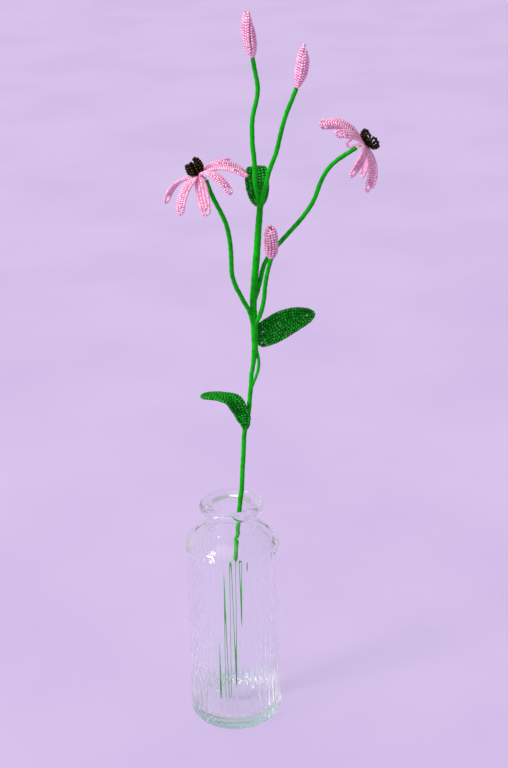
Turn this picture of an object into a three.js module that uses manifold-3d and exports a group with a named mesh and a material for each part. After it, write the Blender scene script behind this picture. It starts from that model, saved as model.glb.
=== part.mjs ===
// A coneflower of glass beads threaded on wire, standing in a ribbed clear glass vase.
// Millimetres, +Z up, the vase's foot on the ground plane and its axis on the Z axis.
// The front of the spray faces -Y.

import * as THREE from 'three';
import Module from 'manifold-3d';

const wasm = await Module();
wasm.setup();

// Vase sizes
const BODY_RADIUS = 32.1;
const RIB_DEPTH = 0.5;
const RIB_COUNT = 40;
const WALL = 2.7;
const FLOOR_THICKNESS = 8;
const SHOULDER_HEIGHT = 138;
const SHOULDER_RISE = 10;
const NECK_RADIUS = 16.8;
const MOUTH_RADIUS = 13.2;
const LIP_CENTRE_RADIUS = 17.6;
const LIP_HALF_WIDTH = 4.4;
const LIP_HALF_HEIGHT = 2.9;
const LIP_HEIGHT = 164.1;

// Bead sizes, larger than life so that the rows read from a step away
const PINK_ROW_RADIUS = 1.15;
const PINK_WAIST_RADIUS = 0.74;
const PINK_BEAD_PITCH = 5.4;
const LEAF_ROWS = 9;
const LEAF_RIDGE = 1.15;
const LEAF_RIDGE_WAIST = 0.85;
const LEAF_VALLEY = 0.5;
const LEAF_EDGE = 0.32;

// Petal sizes
const PETAL_LENGTH = 33;
const PETAL_ROOT_RADIUS = 2.5;
const HUB_RADIUS = 3.4;
const HUB_HALF_HEIGHT = 1.1;

// Space left between pieces that touch
const GAP = 0.3;

const COLOURS = {
  glass: 0xdcefe4,
  wrap: 0x12a51f,
  leafBead: 0x056b16,
  petalBead: 0xf2a3cb,
  coneBead: 0x1d100a,
  wire: 0xcfc6b8,
};

// Basic shapes

function vec(point) {
  return new THREE.Vector3(point[0], point[1], point[2]);
}

function degrees(angle) {
  return (angle * Math.PI) / 180;
}

// A closed skin over a row of closed rings, with a fan to a middle point at either end.
// Rings run counter-clockwise about the direction of travel and may differ in count.
function closedRings(rings, firstPoint, lastPoint) {
  const positions = [];
  const faces = [];
  const starts = [];
  const add = (p) => {
    positions.push(p.x, p.y, p.z);
    return positions.length / 3 - 1;
  };
  for (const ring of rings) {
    starts.push(positions.length / 3);
    ring.forEach(add);
  }
  for (let k = 0; k + 1 < rings.length; k += 1) {
    const n = rings[k].length;
    const m = rings[k + 1].length;
    const a = (i) => starts[k] + (i % n);
    const b = (j) => starts[k + 1] + (j % m);
    let i = 0;
    let j = 0;
    while (i < n || j < m) {
      if (i < n && (j >= m || (i + 1) * m <= (j + 1) * n)) {
        faces.push(a(i), a(i + 1), b(j));
        i += 1;
      } else {
        faces.push(a(i), b(j + 1), b(j));
        j += 1;
      }
    }
  }
  const first = add(firstPoint);
  const firstCount = rings[0].length;
  for (let i = 0; i < firstCount; i += 1) {
    faces.push(first, starts[0] + ((i + 1) % firstCount), starts[0] + i);
  }
  const last = add(lastPoint);
  const lastStart = starts[starts.length - 1];
  const lastCount = rings[rings.length - 1].length;
  for (let i = 0; i < lastCount; i += 1) {
    faces.push(last, lastStart + i, lastStart + ((i + 1) % lastCount));
  }
  const geometry = new THREE.BufferGeometry();
  geometry.setAttribute('position', new THREE.Float32BufferAttribute(positions, 3));
  geometry.setIndex(faces);
  return geometry;
}

// A tube along a row of points; the frame is carried along without turning.
function tube(points, radiusAt, sides, firstNormal, corner = 0) {
  const rings = [];
  let normal = firstNormal.clone();
  points.forEach((point, k) => {
    const before = points[Math.max(k - 1, 0)];
    const after = points[Math.min(k + 1, points.length - 1)];
    const travel = after.clone().sub(before).normalize();
    normal.addScaledVector(travel, -normal.dot(travel)).normalize();
    const side = travel.clone().cross(normal);
    const ring = [];
    for (let i = 0; i < sides; i += 1) {
      const angle = corner + (i * 2 * Math.PI) / sides;
      const radius = radiusAt(k);
      const p = point.clone();
      p.addScaledVector(normal, radius * Math.cos(angle));
      p.addScaledVector(side, radius * Math.sin(angle));
      ring.push(p);
    }
    rings.push(ring);
  });
  return closedRings(rings, points[0], points[points.length - 1]);
}

// A ball pressed flat along its own axis
function pressedBall(centre, axis, radius, halfHeight, sides) {
  const frame = axisFrame(axis);
  const rings = [];
  for (const lift of [-0.72, 0, 0.72]) {
    const reach = radius * Math.sqrt(1 - lift * lift);
    rings.push(ringAbout(centre, frame, lift * halfHeight, () => reach, sides));
  }
  const low = centre.clone().addScaledVector(frame.axis, -halfHeight);
  const high = centre.clone().addScaledVector(frame.axis, halfHeight);
  return closedRings(rings, low, high);
}

// Joins overlapping closed shapes into one closed body
function fuse(geometries) {
  let body = null;
  for (const geometry of geometries) {
    const mesh = new wasm.Mesh({
      numProp: 3,
      vertProperties: new Float32Array(geometry.getAttribute('position').array),
      triVerts: new Uint32Array(geometry.getIndex().array),
    });
    const solid = new wasm.Manifold(mesh);
    body = body ? body.add(solid) : solid;
  }
  const joined = body.getMesh();
  const result = new THREE.BufferGeometry();
  result.setAttribute('position', new THREE.Float32BufferAttribute(joined.vertProperties, 3));
  result.setIndex(Array.from(joined.triVerts));
  return result;
}

// Three unit directions: the axis, one to the right of the front view, and one away from it
function axisFrame(direction) {
  const axis = vec(direction).normalize();
  const right = new THREE.Vector3(1, 0, 0).addScaledVector(axis, -axis.x).normalize();
  const away = axis.clone().cross(right);
  return { axis, right, away };
}

function ringAbout(centre, frame, lift, reachAt, count, liftAt = () => 0, turn = 0) {
  const ring = [];
  for (let i = 0; i < count; i += 1) {
    const angle = turn + (i * 2 * Math.PI) / count;
    const p = centre.clone().addScaledVector(frame.axis, lift + liftAt(i));
    p.addScaledVector(frame.right, reachAt(i) * Math.cos(angle));
    p.addScaledVector(frame.away, reachAt(i) * Math.sin(angle));
    ring.push(p);
  }
  return ring;
}

// Vase

function vaseGeometry() {
  const frame = axisFrame([0, 0, 1]);
  const centre = new THREE.Vector3();
  const fine = RIB_COUNT * 2;
  const plain = RIB_COUNT;
  const rings = [];
  const ribbed = (radius, z, depth) => {
    rings.push(ringAbout(centre, frame, z, (i) => radius + (i % 2 ? -depth : depth) / 2, fine));
  };
  const smooth = (radius, z) => rings.push(ringAbout(centre, frame, z, () => radius, plain));

  // Foot, ribbed wall and the rounded edge of the shoulder
  ribbed(29.2, 0, 0);
  ribbed(31.3, 1.0, 0.2);
  ribbed(BODY_RADIUS, 3.0, RIB_DEPTH);
  ribbed(BODY_RADIUS, SHOULDER_HEIGHT - 2, RIB_DEPTH);
  ribbed(BODY_RADIUS - 0.5, SHOULDER_HEIGHT + 0.4, RIB_DEPTH * 0.5);

  // Shoulder and neck
  const width = BODY_RADIUS - NECK_RADIUS;
  for (const turn of [20, 36, 54, 72]) {
    const radius = NECK_RADIUS + width * Math.cos(degrees(turn)) ** 1.43;
    smooth(radius, SHOULDER_HEIGHT + SHOULDER_RISE * Math.sin(degrees(turn)) ** 1.43);
  }
  smooth(NECK_RADIUS, SHOULDER_HEIGHT + SHOULDER_RISE + 1.6);
  smooth(NECK_RADIUS - 0.1, LIP_HEIGHT - LIP_HALF_HEIGHT - 1.4);

  // Rolled lip
  for (const turn of [-95, -58, -24, 8, 42, 76, 110, 145, 180]) {
    const radius = LIP_CENTRE_RADIUS + LIP_HALF_WIDTH * Math.cos(degrees(turn));
    smooth(radius, LIP_HEIGHT + LIP_HALF_HEIGHT * Math.sin(degrees(turn)));
  }

  // Inside of the neck, shoulder, wall and floor
  smooth(MOUTH_RADIUS, SHOULDER_HEIGHT + SHOULDER_RISE - 0.5);
  smooth(MOUTH_RADIUS + 6.2, SHOULDER_HEIGHT + SHOULDER_RISE - 4.4);
  smooth(BODY_RADIUS - WALL - 2.2, SHOULDER_HEIGHT - 2.6);
  smooth(BODY_RADIUS - WALL, SHOULDER_HEIGHT - 6.6);
  smooth(BODY_RADIUS - WALL, FLOOR_THICKNESS + 3.4);
  smooth(BODY_RADIUS - WALL - 3, FLOOR_THICKNESS);
  return closedRings(rings, centre, new THREE.Vector3(0, 0, FLOOR_THICKNESS));
}

// Wrapped stem

const MAIN_STEM = [
  [-7.2, -3.0, FLOOR_THICKNESS + GAP], [-0.6, 3.0, 86.3], [6.1, 9.1, 164.3], [7.0, 9.6, 170.3],
  [8.0, 10.4, 185.8], [9.0, 10.8, 200.5], [9.7, 11.0, 212.4], [11.3, 11.3, 221.6],
  [12.9, 11.5, 229.6], [14.0, 12.0, 239.7], [14.9, 12.0, 247.7], [15.2, 12.0, 255.0],
  [16.3, 11.8, 261.5], [17.7, 11.4, 272.4], [18.0, 11.0, 277.5], [17.6, 10.5, 293.9],
  [17.5, 10.0, 309.4], [18.5, 9.6, 323.2], [19.7, 9.2, 336.5], [20.8, 8.8, 350.0],
  [22.0, 8.4, 363.3], [22.6, 8.0, 370.9],
];
const MAIN_RADII = [
  [8, 1.5], [164, 1.6], [232, 1.6], [246, 1.5], [262, 1.4], [273, 2.0], [282, 2.3], [340, 2.3],
  [371, 2.2],
];

// Each branch: waypoints, first and last radius
const BRANCHES = [
  {
    path: [
      [15.1, 11.6, 246.4], [16.7, 10.6, 251.2], [18.5, 10.2, 255.7], [19.9, 10.4, 260.6],
      [20.3, 11.2, 266.0], [19.4, 11.8, 271.2], [18.4, 11.3, 276.0],
    ],
    radii: [1.0, 1.1],
  },
  {
    path: [
      [22.5, 8.0, 366.0], [22.4, 8.1, 371.5], [21.8, 8.6, 377.9], [20.2, 9.0, 384.9],
      [19.6, 10.0, 398.4], [19.4, 10.4, 403.7], [18.7, 10.8, 409.9], [18.5, 11.2, 416.7],
      [18.6, 11.5, 424.4], [19.3, 11.7, 429.7], [21.3, 12.0, 437.6], [22.2, 12.0, 442.5],
      [22.3, 12.0, 446.7], [21.9, 11.8, 450.4], [20.7, 11.0, 457.3], [19.6, 10.0, 464.4],
    ],
    radii: [1.6, 1.35],
  },
  {
    path: [
      [22.3, 8.2, 365.0], [22.9, 8.0, 370.4], [23.7, 7.4, 375.0], [25.0, 6.4, 381.7],
      [27.0, 5.0, 389.4], [28.5, 4.0, 395.7], [30.7, 3.0, 401.9], [32.8, 2.0, 407.8],
      [35.0, 0.0, 417.0], [37.1, -2.0, 426.0], [39.8, -3.4, 434.8], [43.3, -4.4, 443.5],
      [45.4, -5.0, 448.9],
    ],
    radii: [1.5, 1.35],
  },
  {
    path: [
      [17.6, 10.0, 307.3], [19.9, 10.6, 314.0], [22.2, 11.6, 322.4], [23.2, 12.2, 327.3],
      [24.8, 13.0, 332.4], [27.3, 13.6, 336.9], [31.3, 14.4, 342.0], [42.0, 16.4, 353.6],
      [48.4, 17.6, 360.4], [51.7, 18.2, 364.6], [54.9, 18.6, 369.2], [57.7, 19.0, 374.7],
      [60.1, 19.2, 381.3], [62.7, 19.3, 387.4], [65.9, 19.4, 392.6], [70.6, 19.5, 397.5],
      [76.9, 19.5, 401.9], [83.6, 19.6, 406.0],
    ],
    radii: [1.5, 1.4],
  },
  {
    path: [
      [17.2, 10.4, 291.2], [15.6, 8.8, 299.2], [13.9, 7.4, 304.6], [11.3, 5.6, 310.1],
      [9.1, 4.0, 315.5], [6.7, 2.4, 320.9], [5.1, 1.0, 326.2], [4.1, -0.6, 331.5],
      [4.0, -2.6, 339.2], [3.9, -4.6, 346.8], [3.2, -7.2, 356.8], [1.5, -9.4, 366.6],
      [-1.3, -11.0, 374.2], [-4.4, -12.2, 380.9], [-7.2, -13.0, 387.5], [-10.0, -13.8, 395.9],
    ],
    radii: [1.5, 1.4],
  },
  {
    path: [
      [17.9, 10.8, 286.1], [19.2, 9.2, 293.7], [21.3, 7.4, 299.2], [23.2, 5.6, 306.1],
      [24.4, 3.6, 313.3], [25.0, 0.6, 321.6], [26.1, -2.0, 329.5], [27.6, -4.0, 336.5],
      [29.2, -6.0, 342.8],
    ],
    radii: [1.5, 1.35],
  },
];

function valueAt(table, key) {
  for (let i = 1; i < table.length; i += 1) {
    if (key <= table[i][0]) {
      const share = (key - table[i - 1][0]) / (table[i][0] - table[i - 1][0]);
      return table[i - 1][1] + (table[i][1] - table[i - 1][1]) * Math.max(share, 0);
    }
  }
  return table[table.length - 1][1];
}

function stemGeometry() {
  const front = new THREE.Vector3(0, -1, 0);
  const main = MAIN_STEM.map(vec);
  const shapes = [tube(main, (k) => valueAt(MAIN_RADII, main[k].z), 8, front, degrees(22.5))];
  for (const { path, radii } of BRANCHES) {
    const last = path.length - 1;
    const radiusAt = (k) => radii[0] + ((radii[1] - radii[0]) * k) / last;
    shapes.push(tube(path.map(vec), radiusAt, 6, front));
  }
  return fuse(shapes);
}

// Blooms

// A petal is a bent strip: it leaves the hub at one slope and bends evenly to another.
// Angle about the axis, first slope, last slope and roll about its own length, in degrees,
// then its width beside a plain petal's
const BLOOM_LEFT = {
  hub: [-14.0, -14, 399.1],
  axis: [-0.435, 0.079, 0.897],
  petals: [
    [149.4, 21.2, -48.9, 14, 1], [236, 10.9, -52.7, -16, 0.85], [263, -33, -34, -13, 1],
    [302, 23.6, -85.5, -19, 0.95], [25.3, 18, -80, 40, 1], [327.5, 17.6, -56.7, -12, 1],
    [60.9, 12, -25, 3, 1], [109, 12, -25, 2, 1],
  ],
  stemEnd: [-10.0, -13.8, 395.9],
  stemBefore: [-7.2, -13.0, 387.5],
  coneAxis: [-0.44, -0.06, 0.89],
  coneRadius: 5.9,
  coneHeight: 9.7,
};
const BLOOM_RIGHT = {
  hub: [88.3, 20, 407.9],
  axis: [0.758, 0.024, 0.652],
  petals: [
    [191.7, 21.5, -65.2, -17, 0.86], [138, 6.9, -62.5, 5, 1.12], [230.6, 15.5, -39.3, -2, 1.05],
    [89.6, 20, -62.1, 0, 1], [276.4, 1.4, -64, -30, 1], [49.5, -7.3, -51.9, 15, 1.05],
    [309, 4, -64.7, 0, 1.12], [25.6, 2.8, -59.6, 0, 1],
  ],
  stemEnd: [83.6, 19.6, 406.0],
  stemBefore: [76.9, 19.5, 401.9],
  coneAxis: [0.758, 0.024, 0.652],
  coneRadius: 7.2,
  coneHeight: 7.2,
};

// Half of a loop of beads in the petal's own plane: distance along, distance to the side
const OUTER_ROW = [
  [0, 0.9], [3, 1.9], [7, 2.75], [14, 2.95], [22, 2.8], [28.5, 2.35], [31.6, 1.8], [32.8, 0.8],
];
const INNER_ROW = [[0, 0.5], [4, 0.85], [12, 0.98], [18.5, 0.98], [21, 0.7]];

function loopOutline(halfRow, tipLength) {
  const left = halfRow.map(([along, aside]) => [along, -aside]);
  const right = halfRow.map(([along, aside]) => [along, aside]).reverse();
  return [...left, [tipLength, 0], ...right];
}

function petalPoint(bloom, petal, along, aside) {
  const frame = axisFrame(bloom.axis);
  const turn = degrees(petal[0]);
  const first = degrees(petal[1]);
  const bend = degrees(petal[2] - petal[1]) / PETAL_LENGTH;
  const slope = first + bend * along;
  const reach = PETAL_ROOT_RADIUS + (Math.sin(slope) - Math.sin(first)) / bend;
  const rise = (Math.cos(first) - Math.cos(slope)) / bend;
  const outward = frame.right.clone().multiplyScalar(Math.cos(turn));
  outward.addScaledVector(frame.away, Math.sin(turn));
  const side = frame.axis.clone().cross(outward);
  const normal = frame.axis.clone().multiplyScalar(Math.cos(slope));
  normal.addScaledVector(outward, -Math.sin(slope));
  const roll = degrees(petal[3]) * Math.min(Math.max(along, 0) / 8, 1);
  const point = vec(bloom.hub).addScaledVector(outward, reach).addScaledVector(frame.axis, rise);
  point.addScaledVector(side, aside * petal[4] * Math.cos(roll));
  point.addScaledVector(normal, aside * petal[4] * Math.sin(roll));
  return { point, normal };
}

function beadLoop(bloom, petal, halfRow, tipLength) {
  const outline = loopOutline(halfRow, tipLength);
  const flat = outline.map(([along, aside]) => new THREE.Vector3(along, aside, 0));
  const curve = new THREE.CatmullRomCurve3(flat, false, 'centripetal');
  const beads = Math.round(curve.getLength() / PINK_BEAD_PITCH);
  const spots = curve.getSpacedPoints(beads * 2);
  const points = spots.map((spot) => petalPoint(bloom, petal, spot.x, spot.y).point);
  const start = petalPoint(bloom, petal, 0, 0).normal;
  const radiusAt = (k) => (k % 2 ? PINK_ROW_RADIUS : PINK_WAIST_RADIUS);
  return tube(points, radiusAt, 4, start, degrees(45));
}

function petalsGeometry(bloom) {
  const shapes = [pressedBall(vec(bloom.hub), bloom.axis, HUB_RADIUS, HUB_HALF_HEIGHT, 12)];
  for (const petal of bloom.petals) {
    shapes.push(beadLoop(bloom, petal, OUTER_ROW, PETAL_LENGTH));
    shapes.push(beadLoop(bloom, petal, INNER_ROW, 21.8));
  }
  return fuse(shapes);
}

// The cone is a crown of upright bead loops round a hollow top
function coneGeometry(bloom) {
  const frame = axisFrame(bloom.coneAxis);
  const centre = vec(bloom.hub);
  const strands = 14;
  const count = strands * 2;
  const base = HUB_HALF_HEIGHT + GAP;
  const profile = [
    [3.0, 0], [4.8, 1.2], [5.9, 2.5], [6.2, 3.9], [6.1, 5.5], [5.9, 6.9], [4.9, 7.8], [3.4, 6.6],
    [1.8, 5.2],
  ];
  const rings = profile.map(([radius, height], k) => {
    const swell = k > 0 && k < 7 ? 0.07 : 0;
    const crest = k > 4 && k < 8 ? 1 : 0;
    const reachAt = (i) => {
      const strand = i % 2 ? -1 : 1;
      const bead = (k + Math.floor(i / 2)) % 2 ? 1 : -1;
      const size = radius * (bloom.coneRadius / 6.2);
      return size * (1 + swell * strand + swell * 0.5 * bead * (i % 2 ? 0 : 1));
    };
    const liftAt = (i) => crest * 0.9 * Math.cos((i / count) * 2 * Math.PI * 7);
    const lift = base + (height * bloom.coneHeight) / 10;
    return ringAbout(centre, frame, lift, reachAt, count, liftAt);
  });
  const low = centre.clone().addScaledVector(frame.axis, base);
  const high = centre.clone().addScaledVector(frame.axis, base + (4.8 * bloom.coneHeight) / 10);
  return closedRings(rings, low, high);
}

// Bare wires between the end of the wrapping and the petals: straight on, then over to the hub
function bindingGeometry(bloom) {
  const hub = vec(bloom.hub);
  const stemEnd = vec(bloom.stemEnd);
  const stemWay = stemEnd.clone().sub(vec(bloom.stemBefore)).normalize();
  const from = stemEnd.clone().addScaledVector(stemWay, GAP);
  const elbow = stemEnd.clone().addScaledVector(stemWay, 1.5);
  const back = elbow.clone().sub(hub).normalize();
  const to = hub.clone().addScaledVector(back, HUB_HALF_HEIGHT + 1.3);
  return tube([from, elbow, to], () => 0.9, 8, new THREE.Vector3(0, -1, 0));
}

// Buds

// Each profile point: share of the bud's length, share of its radius
const SLIM_BUD = [
  [0.0, 0.34], [0.08, 0.55], [0.17, 0.78], [0.27, 0.93], [0.37, 1.0], [0.47, 1.0], [0.57, 0.98],
  [0.67, 0.93], [0.77, 0.83], [0.86, 0.7], [0.94, 0.5],
];
const BLUNT_BUD = [
  [0.0, 0.45], [0.08, 0.7], [0.17, 0.87], [0.27, 0.95], [0.37, 0.99], [0.47, 1.0], [0.57, 1.0],
  [0.67, 1.0], [0.77, 0.98], [0.86, 0.91], [0.94, 0.7],
];
const BUDS = {
  bud_top: {
    from: [19.7, 10, 464.4], to: [16.3, 8, 493.6], radius: 4.3, lean: -0.6, profile: SLIM_BUD,
  },
  bud_right: {
    from: [45.7, -5, 448.9], to: [51.0, -7, 476.2], radius: 4.3, lean: 0.5, profile: SLIM_BUD,
  },
  bud_middle: {
    from: [29.3, -6, 342.8], to: [29.2, -8, 365.0], radius: 4.6, lean: 0, profile: BLUNT_BUD,
  },
};
const BUD_STRANDS = 10;

function budGeometry({ from, to, radius, lean, profile }) {
  const start = vec(from);
  const span = vec(to).sub(start);
  const frame = axisFrame(span.toArray());
  const length = span.length();
  const count = BUD_STRANDS * 2;
  const middleAt = (t) => {
    const p = start.clone().addScaledVector(span, t);
    return p.addScaledVector(frame.right, lean * Math.sin(Math.PI * t));
  };
  const foot = (GAP + 0.1) / length;
  const rings = profile.map(([t, share], k) => {
    const place = foot + t * (1 - foot);
    const crest = k === profile.length - 1 ? 1.5 : 0;
    const reachAt = (i) => {
      const bead = (k + i / 2) % 2 ? 0.06 : -0.05;
      return radius * share * (i % 2 ? 0.82 : 1 + bead);
    };
    const liftAt = (i) => crest * Math.cos((i / count) * 2 * Math.PI * 5);
    return ringAbout(middleAt(place), frame, 0, reachAt, count, liftAt, 0.045 * k);
  });
  return closedRings(rings, middleAt(foot), middleAt(0.985));
}

// Leaves

// Each station: middle point, direction across the leaf, half width
const LEAVES = {
  leaf_right: {
    cup: 0.9,
    stations: [
      [[18.2, 15.2, 280.2], [0, 0, 1], 6.4],
      [[21.4, 15.3, 281.8], [-0.2, 0, 0.98], 8.3],
      [[25.6, 15.6, 284.0], [-0.36, 0, 0.93], 9.2],
      [[31.4, 16.2, 287.0], [-0.36, 0.02, 0.93], 9.7],
      [[37.6, 17.2, 290.2], [-0.27, 0.04, 0.96], 9.5],
      [[44.6, 19.0, 292.3], [-0.2, 0.06, 0.97], 8.4],
      [[51.0, 21.2, 293.2], [-0.15, 0.08, 0.98], 6.3],
      [[55.4, 23.0, 293.7], [-0.12, 0.1, 0.98], 4.0],
      [[58.0, 24.2, 294.3], [-0.1, 0.1, 0.99], 1.4],
    ],
  },
  leaf_low_left: {
    cup: 0.4,
    stations: [
      [[10.2, 8.3, 217.0], [1, 0, 0.05], 1.6],
      [[10.6, 7.3, 221.2], [1, 0, 0.05], 3.2],
      [[9.6, 6.9, 226.4], [0.99, 0, 0.15], 5.0],
      [[7.2, 6.5, 232.7], [0.93, 0.2, 0.3], 5.4],
      [[4.6, 6.4, 237.7], [0.75, 0.62, 0.16], 6.2],
      [[0.4, 6.6, 241.2], [0.45, 0.88, 0], 7.0],
      [[-5.8, 7.0, 243.0], [0.12, 0.98, -0.07], 7.6],
      [[-12.0, 7.3, 243.5], [0.02, 0.99, -0.1], 6.8],
      [[-16.4, 7.5, 243.2], [0, 0.99, -0.1], 4.8],
      [[-18.9, 7.6, 242.5], [0, 0.99, -0.1], 1.8],
    ],
  },
  leaf_top: {
    cup: 0.8,
    stations: [
      [[22.4, 11.2, 371.2], [1, 0, 0], 1.8],
      [[22.2, 12.5, 373.6], [1, 0, 0.02], 4.6],
      [[21.8, 13.0, 377.6], [1, 0, 0.04], 6.4],
      [[21.4, 13.8, 382.4], [1, 0, 0.05], 7.4],
      [[21.1, 15.0, 387.2], [1, 0, 0.05], 7.7],
      [[20.9, 17.4, 391.4], [1, 0, 0.05], 7.5],
      [[21.0, 21.0, 393.6], [1, 0, 0.04], 6.8],
      [[21.2, 25.6, 393.2], [1, 0, 0.03], 5.6],
      [[21.4, 29.4, 390.8], [1, 0, 0.02], 3.8],
      [[21.5, 31.4, 388.4], [1, 0, 0], 1.4],
    ],
  },
};
const LEAF_STEPS = 11;

function leafGeometry({ stations, cup }) {
  const middles = new THREE.CatmullRomCurve3(stations.map((s) => vec(s[0])), false, 'centripetal');
  const acrosses = new THREE.CatmullRomCurve3(stations.map((s) => vec(s[1])));
  const widths = new THREE.CatmullRomCurve3(stations.map((s) => new THREE.Vector3(s[2], 0, 0)));
  const rings = [];
  for (let k = 0; k <= LEAF_STEPS; k += 1) {
    const t = k / LEAF_STEPS;
    const middle = middles.getPoint(t);
    const travel = middles.getTangent(t);
    const across = acrosses.getPoint(t);
    across.addScaledVector(travel, -across.dot(travel)).normalize();
    const normal = travel.clone().cross(across);
    const halfWidth = widths.getPoint(t).x;
    const ridge = k % 2 ? LEAF_RIDGE : LEAF_RIDGE_WAIST;
    const last = LEAF_ROWS * 2;
    const place = (i, face) => {
      const v = 1 - (2 * i) / last;
      const half = i === 0 || i === last ? LEAF_EDGE : i % 2 ? ridge : LEAF_VALLEY;
      const p = middle.clone().addScaledVector(across, halfWidth * v);
      return p.addScaledVector(normal, face * half + cup * v * v);
    };
    const ring = [];
    for (let i = 0; i <= last; i += 1) ring.push(place(i, 1));
    for (let i = last; i >= 0; i -= 1) ring.push(place(i, -1));
    rings.push(ring);
  }
  return closedRings(rings, middles.getPoint(0), middles.getPoint(1));
}

// Assembly

const object = new THREE.Group();
object.name = 'beaded_coneflower_in_vase';

function addPiece(name, geometry, color, roughness, extra = {}) {
  geometry.computeVertexNormals();
  const material = new THREE.MeshStandardMaterial({ color, roughness, ...extra });
  material.name = name;
  const mesh = new THREE.Mesh(geometry, material);
  mesh.name = name;
  object.add(mesh);
}

addPiece('vase', vaseGeometry(), COLOURS.glass, 0.05, { transparent: true, opacity: 0.35 });
addPiece('stems', stemGeometry(), COLOURS.wrap, 0.5);
for (const [name, leaf] of Object.entries(LEAVES)) {
  addPiece(name, leafGeometry(leaf), COLOURS.leafBead, 0.2);
}
for (const [side, bloom] of [['left', BLOOM_LEFT], ['right', BLOOM_RIGHT]]) {
  addPiece(`bloom_${side}_petals`, petalsGeometry(bloom), COLOURS.petalBead, 0.2);
  addPiece(`bloom_${side}_cone`, coneGeometry(bloom), COLOURS.coneBead, 0.25);
  addPiece(`bloom_${side}_binding`, bindingGeometry(bloom), COLOURS.wire, 0.35, { metalness: 0.8 });
}
for (const [name, bud] of Object.entries(BUDS)) {
  addPiece(name, budGeometry(bud), COLOURS.petalBead, 0.2);
}

export default object;
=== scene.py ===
"""A coneflower of glass beads on wire, standing in a ribbed clear glass vase.

Lengths are millimetres in the classes below and become metres when a mesh is made. +Z is up, the
vase's axis is the Z axis and the front of the spray faces -Y.
"""
import logging
import math
from dataclasses import dataclass, field
from enum import Enum
from typing import Callable, Union

import bpy
import numpy as np
from mathutils import Matrix


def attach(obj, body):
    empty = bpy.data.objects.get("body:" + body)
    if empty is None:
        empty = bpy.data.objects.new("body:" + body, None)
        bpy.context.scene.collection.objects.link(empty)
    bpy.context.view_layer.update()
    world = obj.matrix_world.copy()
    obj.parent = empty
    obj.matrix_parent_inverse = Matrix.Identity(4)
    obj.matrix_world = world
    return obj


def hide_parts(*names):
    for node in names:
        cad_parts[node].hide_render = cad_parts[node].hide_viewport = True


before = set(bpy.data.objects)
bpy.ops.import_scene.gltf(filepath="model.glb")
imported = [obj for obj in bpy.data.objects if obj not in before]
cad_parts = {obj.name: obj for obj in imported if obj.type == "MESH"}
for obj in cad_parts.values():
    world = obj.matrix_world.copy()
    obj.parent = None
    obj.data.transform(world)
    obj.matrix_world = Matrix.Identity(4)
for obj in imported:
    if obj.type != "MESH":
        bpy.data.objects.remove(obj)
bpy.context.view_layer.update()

Array = np.ndarray
Colour = tuple[float, float, float]
Point = tuple[float, float, float]

log = logging.getLogger("beaded_coneflower")
MM = 0.001


# Shader maths


class Sum(Enum):
    """The sums that a shader value can take part in."""

    ADD = "ADD"
    SUBTRACT = "SUBTRACT"
    MULTIPLY = "MULTIPLY"
    DIVIDE = "DIVIDE"
    POWER = "POWER"
    FRACTION = "FRACT"
    SINE = "SINE"
    LEAST = "MINIMUM"


Input = Union["Value", float, tuple]


class Value:
    """A shader socket that is written like a number."""

    def __init__(self, tree: "Tree", socket: bpy.types.NodeSocket) -> None:
        """Wraps a socket.

        Args:
            tree: The node tree that the socket is in.
            socket: The output to read.
        """
        self.tree = tree
        self.socket = socket

    def _sum(self, kind: Sum, *others: Input, swapped: bool = False) -> "Value":
        """Adds a Math node.

        Args:
            kind: What the node does.
            others: The other numbers, if it takes any.
            swapped: Puts this value second instead of first.

        Returns:
            The node's result.
        """
        terms = [*others, self] if swapped else [self, *others]
        node = self.tree.node("ShaderNodeMath", {"operation": kind.value}, dict(enumerate(terms)))
        return Value(self.tree, node.outputs[0])

    def __add__(self, other: Input) -> "Value":
        """Returns this value plus another."""
        return self._sum(Sum.ADD, other)

    def __sub__(self, other: Input) -> "Value":
        """Returns this value less another."""
        return self._sum(Sum.SUBTRACT, other)

    def __rsub__(self, other: Input) -> "Value":
        """Returns another value less this one."""
        return self._sum(Sum.SUBTRACT, other, swapped=True)

    def __mul__(self, other: Input) -> "Value":
        """Returns this value times another."""
        return self._sum(Sum.MULTIPLY, other)

    def __truediv__(self, other: Input) -> "Value":
        """Returns this value over another."""
        return self._sum(Sum.DIVIDE, other)

    def __pow__(self, other: Input) -> "Value":
        """Returns this value to a power."""
        return self._sum(Sum.POWER, other)

    __radd__ = __add__
    __rmul__ = __mul__

    def fraction(self) -> "Value":
        """Returns the part after the point."""
        return self._sum(Sum.FRACTION)

    def sine(self) -> "Value":
        """Returns the sine."""
        return self._sum(Sum.SINE)

    def least(self, other: Input) -> "Value":
        """Returns the smaller of two values."""
        return self._sum(Sum.LEAST, other)

    def ease(self, low: float, high: float) -> "Value":
        """Goes smoothly from 0 to 1.

        Args:
            low: Where the result is 0.
            high: Where the result is 1.

        Returns:
            The eased share.
        """
        settings = {"interpolation_type": "SMOOTHSTEP"}
        inputs = {"Value": self, "From Min": low, "From Max": high}
        node = self.tree.node("ShaderNodeMapRange", settings, inputs)
        return Value(self.tree, node.outputs["Result"])


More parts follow.
